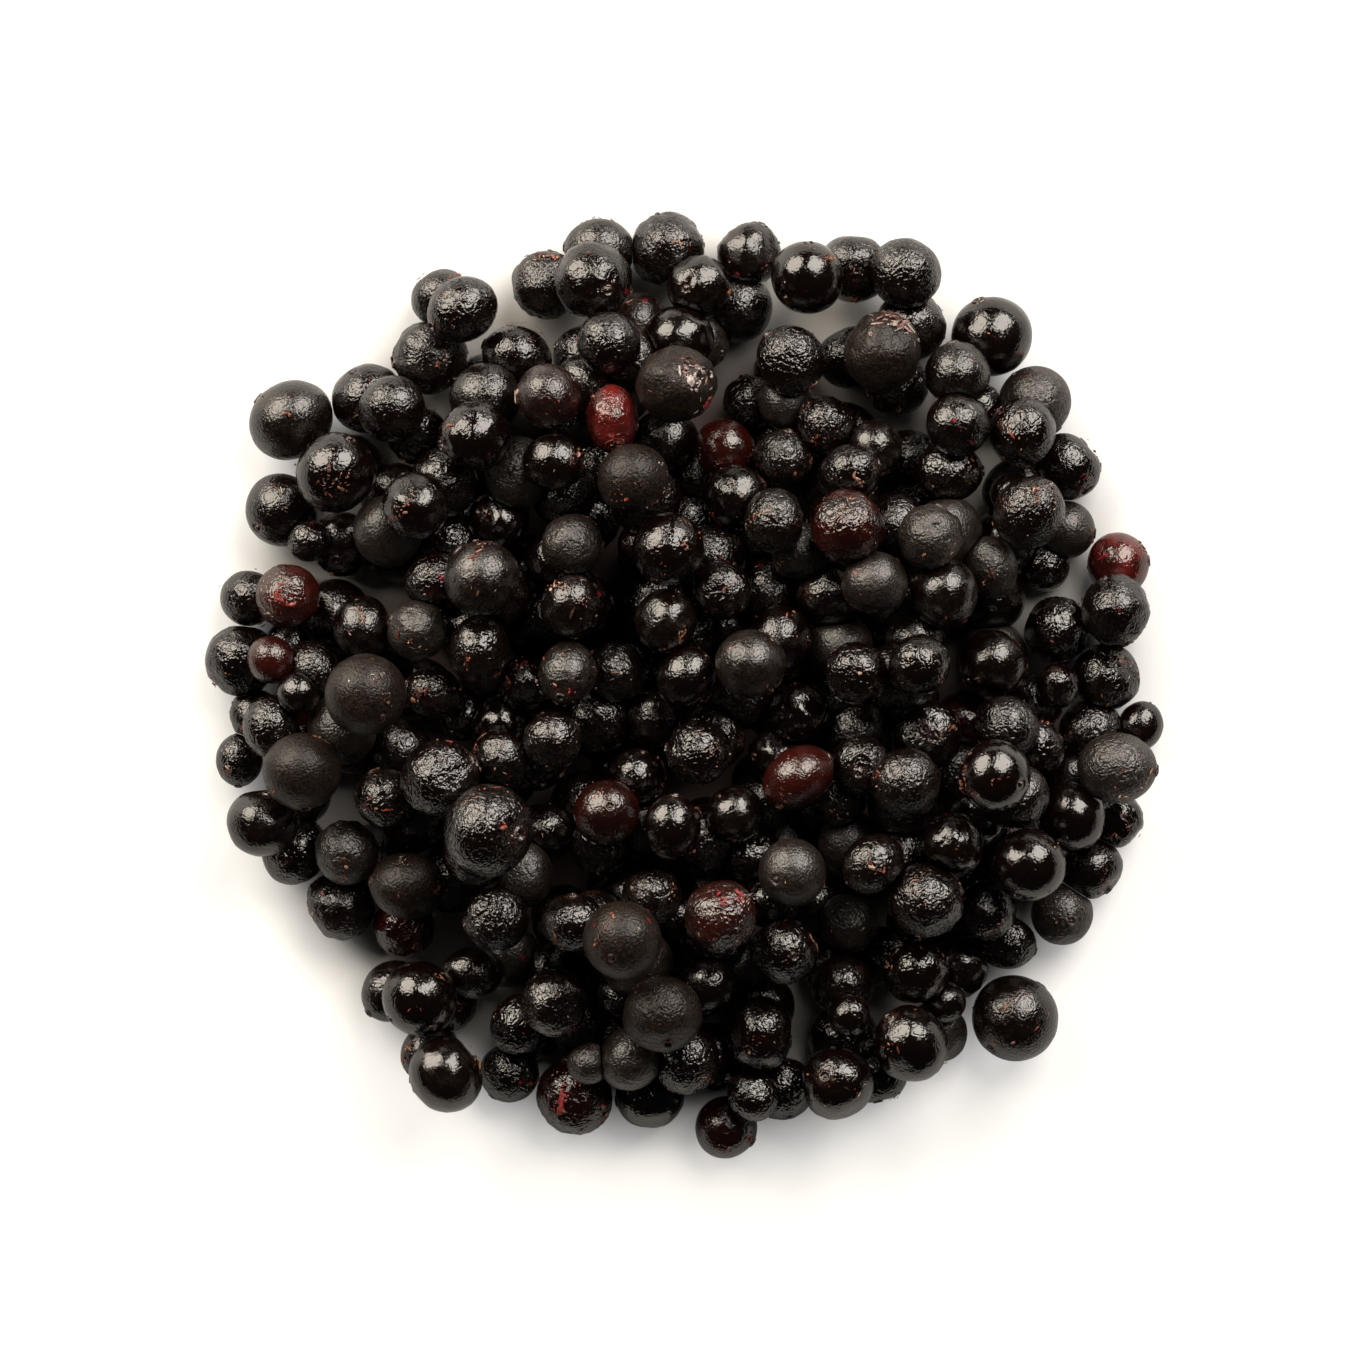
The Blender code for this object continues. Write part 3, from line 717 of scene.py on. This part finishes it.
class ElderberrySkins(bpy.types.PropertyGroup):
    """The colours of the skins."""

    ripe: FloatVectorProperty(
        name="Ripe", description="Skin of a ripe berry", subtype="COLOR", size=3,
        default=(0.0026, 0.0010, 0.0006), min=0.0, max=1.0)
    dusky: FloatVectorProperty(
        name="Dusky", description="Skin between ripe and red", subtype="COLOR", size=3,
        default=(0.0080, 0.0017, 0.0012), min=0.0, max=1.0)
    flesh: FloatVectorProperty(
        name="Flesh", description="Flesh in a nick of the skin", subtype="COLOR", size=3,
        default=(0.15, 0.008, 0.014), min=0.0, max=1.0)
    dark_red: FloatVectorProperty(
        name="Dark red", description="Skin of a berry that is nearly ripe", subtype="COLOR", size=3,
        default=(0.024, 0.0032, 0.0020), min=0.0, max=1.0)
    bright_red: FloatVectorProperty(
        name="Bright red", description="Skin of an unripe berry", subtype="COLOR", size=3,
        default=(0.11, 0.010, 0.009), min=0.0, max=1.0)
    frost: FloatVectorProperty(
        name="Frost", description="Frosted skin", subtype="COLOR", size=3,
        default=(0.0150, 0.0098, 0.0070), min=0.0, max=1.0)
    calyx: FloatVectorProperty(
        name="Calyx", description="Dry collar and scar", subtype="COLOR", size=3,
        default=(0.045, 0.018, 0.011), min=0.0, max=1.0)
    crumb: FloatVectorProperty(
        name="Crumb", description="Specks that stick to the skin", subtype="COLOR", size=3,
        default=(0.080, 0.026, 0.016), min=0.0, max=1.0)


class ElderberryCrumbs(bpy.types.PropertyGroup):
    """The loose crumbs of skin and the frost."""

    crumbs_each: IntProperty(
        name="Crumbs", description="Crumbs of skin on each berry that shows", default=20, min=0)
    torn_share: FloatProperty(
        name="Torn share", description="Share of the berries with a fringe of torn skin",
        subtype="FACTOR", default=0.6, min=0.0, max=1.0)
    crumb_size: FloatProperty(
        name="Crumb size", description="Typical width of a crumb", unit="LENGTH",
        default=0.00022, min=0.0, max=0.002)
    crystals_each: IntProperty(
        name="Crystals", description="Ice crystals on each frosted berry", default=14, min=0)
    crystal_size: FloatProperty(
        name="Crystal size", description="Typical width of an ice crystal", unit="LENGTH",
        default=0.00016, min=0.0, max=0.002)


class ElderberryStage(bpy.types.PropertyGroup):
    """The studio."""

    floor_colour: FloatVectorProperty(
        name="Floor", description="Colour of the board under the heap", subtype="COLOR", size=3,
        default=(0.50, 0.495, 0.485), min=0.0, max=1.0)
    floor_glow: FloatProperty(
        name="Floor glow", description="Light from below the board, round the heap",
        default=0.62, min=0.0)
    edge_glow: FloatProperty(
        name="Edge glow", description="Light from below the board's edge, pale as the backdrop",
        default=0.88, min=0.01)
    warm_power: FloatProperty(
        name="Left light", description="Power of the round, warmer softbox", unit="POWER",
        default=13.6, min=0.0)
    cool_power: FloatProperty(
        name="Right light", description="Power of the rectangular, cooler softbox", unit="POWER",
        default=13.2, min=0.0)
    camera_height: FloatProperty(
        name="Camera height", description="Height of the camera above the board", unit="LENGTH",
        default=1.2, min=0.1)
    lens: FloatProperty(
        name="Lens", description="Focal length in millimetres", default=364.0, min=20.0)


class CLUSTER_OT_fill_clumps(bpy.types.Operator):
    """Model the berries that are frozen together, one piece for each clump"""

    bl_idname = "elderberry.fill_clumps"
    bl_label = "Fill the clumps"

    def execute(self, context):
        """Copy berry shapes to each clump's places and join them."""
        rng = np.random.default_rng(context.scene.elderberry_shape.seed)
        material = ensure_material("ripe_berry_skin", ripe_skin)
        for node in sorted({berry.node for berry in BERRIES if berry.in_clump}):
            copies = []
            for berry in BERRIES:
                if berry.node != node:
                    continue
                shape = rng.choice(SHOWN_SHAPES) if berry.shown else "hidden"
                turn = random_turn(rng)
                copies.append(place_berry(berry, str(shape), turn, clump_look(rng)))
            stand_for(join_as(node + "_skins", copies), node, material)
        return {"FINISHED"}


class CLUSTER_OT_place_standouts(bpy.types.Operator):
    """Model the frosted, glossy, wine-red, split and lone berries, one piece each"""

    bl_idname = "elderberry.place_standouts"
    bl_label = "Place the berries that stand out"

    def execute(self, context):
        """Copy each berry's shape to its place."""
        rng = np.random.default_rng(context.scene.elderberry_shape.seed + 1)
        for berry in BERRIES:
            if berry.in_clump:
                continue
            shape, look, pole = STANDOUTS[berry.node]
            name, make = next(pair for nodes, pair in FINISHES.items() if berry.node in nodes)
            material = ensure_material(name, make)
            turn = pole_turn(pole, rng.uniform(0.0, 2 * math.pi))
            copy = place_berry(berry, shape, turn, look)
            stand_for(join_as(berry.node + "_skin", [copy]), berry.node, material)
        return {"FINISHED"}


def model_crumb(name, seed, widths):
    """Model one crumb of skin or ice, about one unit long."""
    bpy.ops.object.select_all(action="DESELECT")
    bpy.ops.mesh.primitive_ico_sphere_add(subdivisions=1, radius=0.5)
    crumb = bpy.context.object
    bpy.ops.object.mode_set(mode="EDIT")
    bpy.ops.mesh.select_all(action="SELECT")
    bpy.ops.transform.resize(value=widths)
    bpy.ops.transform.vertex_random(offset=0.2 * widths[1], seed=seed)
    bpy.ops.object.mode_set(mode="OBJECT")
    mesh = crumb.data
    mesh.name = name
    mesh.use_fake_user = True
    bpy.data.objects.remove(crumb, do_unlink=True)
    return mesh


def scatter(name, spots, meshes, material):
    """Put crumbs at (place, outward, width, tint) spots as one piece."""
    rng = np.random.default_rng(len(spots))
    copies = []
    for place, outward, width, tint in spots:
        mesh = meshes[int(rng.integers(len(meshes)))].copy()
        turn = Matrix(pole_turn(outward, rng.uniform(0.0, 2 * math.pi)).tolist()).to_4x4()
        tilt = Matrix.Rotation(rng.normal(0.0, 0.5), 4, "X")
        mesh.transform(Matrix.Translation(Vector(place)) @ turn @ tilt @ Matrix.Scale(width, 4))
        colours = mesh.attributes.new("look", "FLOAT_COLOR", "POINT")
        colours.data.foreach_set("color", np.tile((*tint, 1.0), len(mesh.vertices)))
        thing = bpy.data.objects.new(name, mesh)
        bpy.context.scene.collection.objects.link(thing)
        copies.append(thing)
    piece = join_as(name, copies)
    piece.data.materials.clear()
    piece.data.materials.append(material)
    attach(piece, "root")


def uncovered(place, berry):
    """Whether a spot on a berry's skin lies clear of the other berries and above the floor."""
    if place[2] < LOWEST_CRUMB_MM * MM:
        return False
    for other in BERRIES:
        reach = other.radius + CRUMB_CLEARANCE_MM * MM
        if other is not berry and np.linalg.norm(place - other.middle) < reach:
            return False
    return True


def skin_spot(berry, direction):
    """The spot on a berry's skin in a direction."""
    outward = direction / np.linalg.norm(direction)
    return berry.middle + berry.shape @ outward, outward


def fringe(rng, count):
    """Directions along part of a ring, where a neighbour tore the skin."""
    turn = pole_turn(rng.normal(size=3) + (0.0, 0.0, 1.0), rng.uniform(0.0, 2 * math.pi))
    reach = rng.uniform(0.6, 1.25)
    along = rng.uniform(0.0, rng.uniform(0.5, 2.2), size=count)
    ring = np.stack((np.sin(reach) * np.cos(along), np.sin(reach) * np.sin(along),
                     np.full(count, np.cos(reach))), axis=1)
    return ring @ turn.T + rng.normal(0.0, 0.06, size=(count, 3))


def patch(rng, direction, spread, count):
    """Directions round one direction."""
    middle = np.array(direction) / np.linalg.norm(direction)
    return middle + rng.normal(0.0, spread, size=(count, 3))


def clear_spots(rng, berry, directions, typical, tints):
    """Crumbs in the directions that lie clear: place, outward, width and tint."""
    spots = []
    for direction in directions:
        place, outward = skin_spot(berry, direction)
        width = typical * rng.lognormal(0.0, 0.45)
        tint = tints[int(rng.integers(len(tints)))]
        if uncovered(place, berry):
            spots.append((place, outward, width, tint))
    return spots


CRUMB_TINTS = ((0.24, 0.045, 0.024), (0.12, 0.016, 0.016), (0.30, 0.115, 0.050), (0.05, 0.016, 0.010),
               (0.03, 0.012, 0.008), (0.36, 0.18, 0.10), (0.10, 0.036, 0.020), (0.30, 0.10, 0.08),
               (0.03, 0.010, 0.008), (0.42, 0.28, 0.21), (0.02, 0.008, 0.006), (0.20, 0.08, 0.045))
ICE_TINTS = ((0.34, 0.28, 0.26), (0.22, 0.15, 0.14), (0.42, 0.37, 0.35), (0.26, 0.13, 0.12))
FLESH_TINTS = ((0.26, 0.014, 0.020), (0.14, 0.009, 0.010), (0.32, 0.05, 0.05), (0.22, 0.045, 0.022),
               (0.10, 0.010, 0.007))

# Flesh that shows where the skin is torn: node, direction, spread, count and width in mm.
FLESH = (
    ("split_berry_01", (-0.26, 0.16, 0.95), 0.05, 10, 0.42),
    ("split_berry_01", (-0.30, -0.10, 0.94), 0.05, 12, 0.42),
    ("split_berry_01", (-0.34, -0.36, 0.86), 0.06, 10, 0.42),
    ("split_berry_01", (0.72, -0.10, 0.65), 0.08, 8, 0.34),
    ("wine_berry_06", (0.05, -0.60, 0.78), 0.15, 24, 0.36),
    ("wine_berry_06", (-0.20, 0.30, 0.90), 0.20, 10, 0.30),
    ("wine_berry_03", (-0.15, -0.05, 0.97), 0.20, 26, 0.34),
    ("wine_berry_09", (0.52, 0.50, 0.68), 0.13, 20, 0.32),
    ("wine_berry_09", (0.08, 0.45, 0.86), 0.10, 12, 0.32),
    ("wine_berry_04", (0.02, 0.20, 0.97), 0.03, 3, 0.40),
    ("wine_berry_01", (-0.55, 0.35, 0.75), 0.12, 8, 0.28),
    ("wine_berry_02", (0.72, -0.35, 0.55), 0.10, 8, 0.32),
    ("frosted_berry_01", (0.76, -0.42, 0.45), 0.07, 10, 0.40),
    ("frosted_berry_04", (0.10, -0.60, 0.75), 0.12, 8, 0.26),
    ("glossy_berry_08", (0.32, 0.12, 0.93), 0.03, 3, 0.34),
)


class CLUSTER_OT_scatter_crumbs(bpy.types.Operator):
    """Scatter torn skin, dried flower crumbs and bits of flesh over the berries"""

    bl_idname = "elderberry.scatter_crumbs"
    bl_label = "Scatter the crumbs"

    def execute(self, context):
        """Draw the crumbs' spots and tints and join them into three pieces."""
        settings = context.scene.elderberry_crumbs
        rng = np.random.default_rng(context.scene.elderberry_shape.seed + 2)
        meshes = [model_crumb(f"flake_{seed}", seed, (1.0, 0.6, 0.3)) for seed in (1, 2, 3, 4)]
        meshes += [model_crumb(f"thread_{seed}", seed, (1.7, 0.35, 0.25)) for seed in (5, 6)]
        spots = []
        for berry in BERRIES:
            if not berry.shown:
                continue
            fringes = int(rng.poisson(settings.crumbs_each * 1.5))
            near = int(rng.poisson(settings.crumbs_each * 0.5))
            loose = int(rng.poisson(settings.crumbs_each * 0.3))
            directions = np.concatenate((
                fringe(rng, fringes if rng.uniform() < settings.torn_share else 0),
                patch(rng, rng.normal(size=3) + (0.0, 0.0, 0.4), 0.15, near),
                patch(rng, (0.0, 0.0, 1.0), 0.9, loose)))
            spots += clear_spots(rng, berry, directions, settings.crumb_size, CRUMB_TINTS)
        material = tinted("crumb_skin", 0.20)
        left = [spot for spot in spots if spot[0][0] < 0.0]
        right = [spot for spot in spots if spot[0][0] >= 0.0]
        scatter("skin_crumbs_left", left, meshes, material)
        scatter("skin_crumbs_right", right, meshes, material)
        spots = []
        for node, direction, spread, count, width_mm in FLESH:
            berry = next(each for each in BERRIES if each.node == node)
            spots += clear_spots(rng, berry, patch(rng, direction, spread, count), width_mm * MM,
                                 FLESH_TINTS)
        scatter("red_flesh", spots, meshes, tinted("flesh", 0.15))
        return {"FINISHED"}


# Where ice lies thick: the direction of its middle and its spread.
ICE_CAPS = {
    "frosted_berry_01": ((0.45, 0.30, 0.85), 0.24),
    "frosted_berry_12": ((0.45, 0.80, 0.45), 0.28),
}


class CLUSTER_OT_grow_frost(bpy.types.Operator):
    """Grow ice crystals on the frosted berries"""

    bl_idname = "elderberry.grow_frost"
    bl_label = "Grow the frost"

    def execute(self, context):
        """Draw the crystals' spots and join them into one piece."""
        settings = context.scene.elderberry_crumbs
        rng = np.random.default_rng(context.scene.elderberry_shape.seed + 3)
        meshes = [model_crumb(f"crystal_{seed}", seed + 10, (1.0, 0.7, 0.5)) for seed in (1, 2)]
        meshes += [model_crumb(f"needle_{seed}", seed + 10, (2.0, 0.35, 0.3)) for seed in (3, 4)]
        spots = []
        for berry in BERRIES:
            if not berry.node.startswith("frosted"):
                continue
            directions = fringe(rng, settings.crystals_each)
            width = settings.crystal_size
            if berry.node in ICE_CAPS:
                direction, spread = ICE_CAPS[berry.node]
                directions = patch(rng, direction, spread, 5 * settings.crystals_each)
                width = 1.7 * settings.crystal_size
            spots += clear_spots(rng, berry, directions, width, ICE_TINTS)
        scatter("frost_crystals", spots, meshes, tinted("ice", 0.15))
        return {"FINISHED"}


def add_softbox(name, shape, direction, distance, size, power, colour):
    """Add a soft area light that looks at the heap."""
    light = bpy.data.lights.new(name, "AREA")
    light.shape = shape
    light.size, light.size_y = size
    light.energy = power
    light.color = colour
    lamp = bpy.data.objects.new(name, light)
    bpy.context.scene.collection.objects.link(lamp)
    towards = Vector(direction).normalized()
    lamp.location = towards * distance
    lamp.rotation_euler = towards.to_track_quat("Z", "Y").to_euler()
    lamp.visible_camera = False


def light_world(strength_seen, strength_felt):
    """A pale backdrop for the camera that lights the heap only a little."""
    world = bpy.data.worlds.new("studio")
    world.use_nodes = True
    tree = world.node_tree
    background = tree.nodes["Background"]
    path = tree.nodes.new("ShaderNodeLightPath")
    strength = tree.nodes.new("ShaderNodeMapRange")
    strength.inputs["To Min"].default_value = strength_felt
    strength.inputs["To Max"].default_value = strength_seen
    tree.links.new(path.outputs["Is Camera Ray"], strength.inputs["Value"])
    tree.links.new(strength.outputs["Result"], background.inputs["Strength"])
    background.inputs["Color"].default_value = opaque(BACKDROP)
    bpy.context.scene.world = world


VIEW_MIDDLE_MM = (-0.15, 0.18)    # the camera looks straight down on this point
FLOOR_RADIUS = 1.5
FLOOR_DROP_MM = 0.02              # the board lies this far below the heap
BACKDROP_SEEN = 0.95              # the backdrop's strength for the camera
BACKDROP_FELT = 0.015             # and for the berries
SOFTBOX_DISTANCE = 0.9


class CLUSTER_OT_set_stage(bpy.types.Operator):
    """Lay the floor, hang the softboxes and set the camera above the heap"""

    bl_idname = "elderberry.set_stage"
    bl_label = "Set the stage"

    def execute(self, context):
        """Add the floor, lights, backdrop and camera."""
        settings = context.scene.elderberry_stage
        bpy.ops.object.select_all(action="DESELECT")
        bpy.ops.mesh.primitive_circle_add(vertices=96, radius=FLOOR_RADIUS, fill_type="NGON",
                                          location=(0.0, 0.0, -FLOOR_DROP_MM * MM))
        floor = context.object
        floor.name = "studio_floor"
        floor.data.materials.append(ensure_material("white_board", floor_surface))
        add_softbox("softbox_left", "ELLIPSE", (-0.61, 0.61, 0.51), SOFTBOX_DISTANCE,
                    (0.84, 0.84), settings.warm_power, (1.0, 0.90, 0.76))
        add_softbox("softbox_right", "RECTANGLE", (0.434, 0.634, 0.64), SOFTBOX_DISTANCE,
                    (0.62, 0.84), settings.cool_power, (1.0, 0.93, 0.84))
        light_world(BACKDROP_SEEN, BACKDROP_FELT)
        camera = bpy.data.objects.new("camera", bpy.data.cameras.new("camera"))
        context.scene.collection.objects.link(camera)
        camera.data.lens = settings.lens
        camera.location = (VIEW_MIDDLE_MM[0] * MM, VIEW_MIDDLE_MM[1] * MM, settings.camera_height)
        context.scene.camera = camera
        context.scene.view_settings.view_transform = "Standard"
        return {"FINISHED"}


class CLUSTER_PT_panel(bpy.types.Panel):
    """Lists the steps that build the cluster"""

    bl_idname = "CLUSTER_PT_panel"
    bl_label = "Elderberry cluster"
    bl_space_type = "VIEW_3D"
    bl_region_type = "UI"
    bl_category = "Elderberries"

    def draw(self, context):
        """Show each group of settings above its steps."""
        scene = context.scene
        for settings, steps in STEPS:
            box = self.layout.box()
            group = getattr(scene, settings)
            for key in group.__annotations__:
                box.prop(group, key)
            for step in steps:
                box.operator(step)


STEPS = (
    ("elderberry_shape", ("elderberry.fill_clumps",)),
    ("elderberry_skins", ("elderberry.place_standouts",)),
    ("elderberry_crumbs", ("elderberry.scatter_crumbs", "elderberry.grow_frost")),
    ("elderberry_stage", ("elderberry.set_stage",)),
)
SETTINGS = {"elderberry_shape": ElderberryShape, "elderberry_skins": ElderberrySkins,
            "elderberry_crumbs": ElderberryCrumbs, "elderberry_stage": ElderberryStage}
CLASSES = (*SETTINGS.values(), CLUSTER_OT_fill_clumps, CLUSTER_OT_place_standouts,
           CLUSTER_OT_scatter_crumbs, CLUSTER_OT_grow_frost, CLUSTER_OT_set_stage, CLUSTER_PT_panel)


def register():
    """Register the classes and the scene's settings."""
    for each in CLASSES:
        bpy.utils.register_class(each)
    for name, group in SETTINGS.items():
        setattr(bpy.types.Scene, name, PointerProperty(type=group))


def unregister():
    """Take the settings and classes away again."""
    for name in SETTINGS:
        delattr(bpy.types.Scene, name)
    for each in reversed(CLASSES):
        bpy.utils.unregister_class(each)


def main():
    """Build the cluster and its stage."""
    register()
    bpy.ops.elderberry.fill_clumps()
    bpy.ops.elderberry.place_standouts()
    bpy.ops.elderberry.scatter_crumbs()
    bpy.ops.elderberry.grow_frost()
    bpy.ops.elderberry.set_stage()


if __name__ == "__main__":
    main()
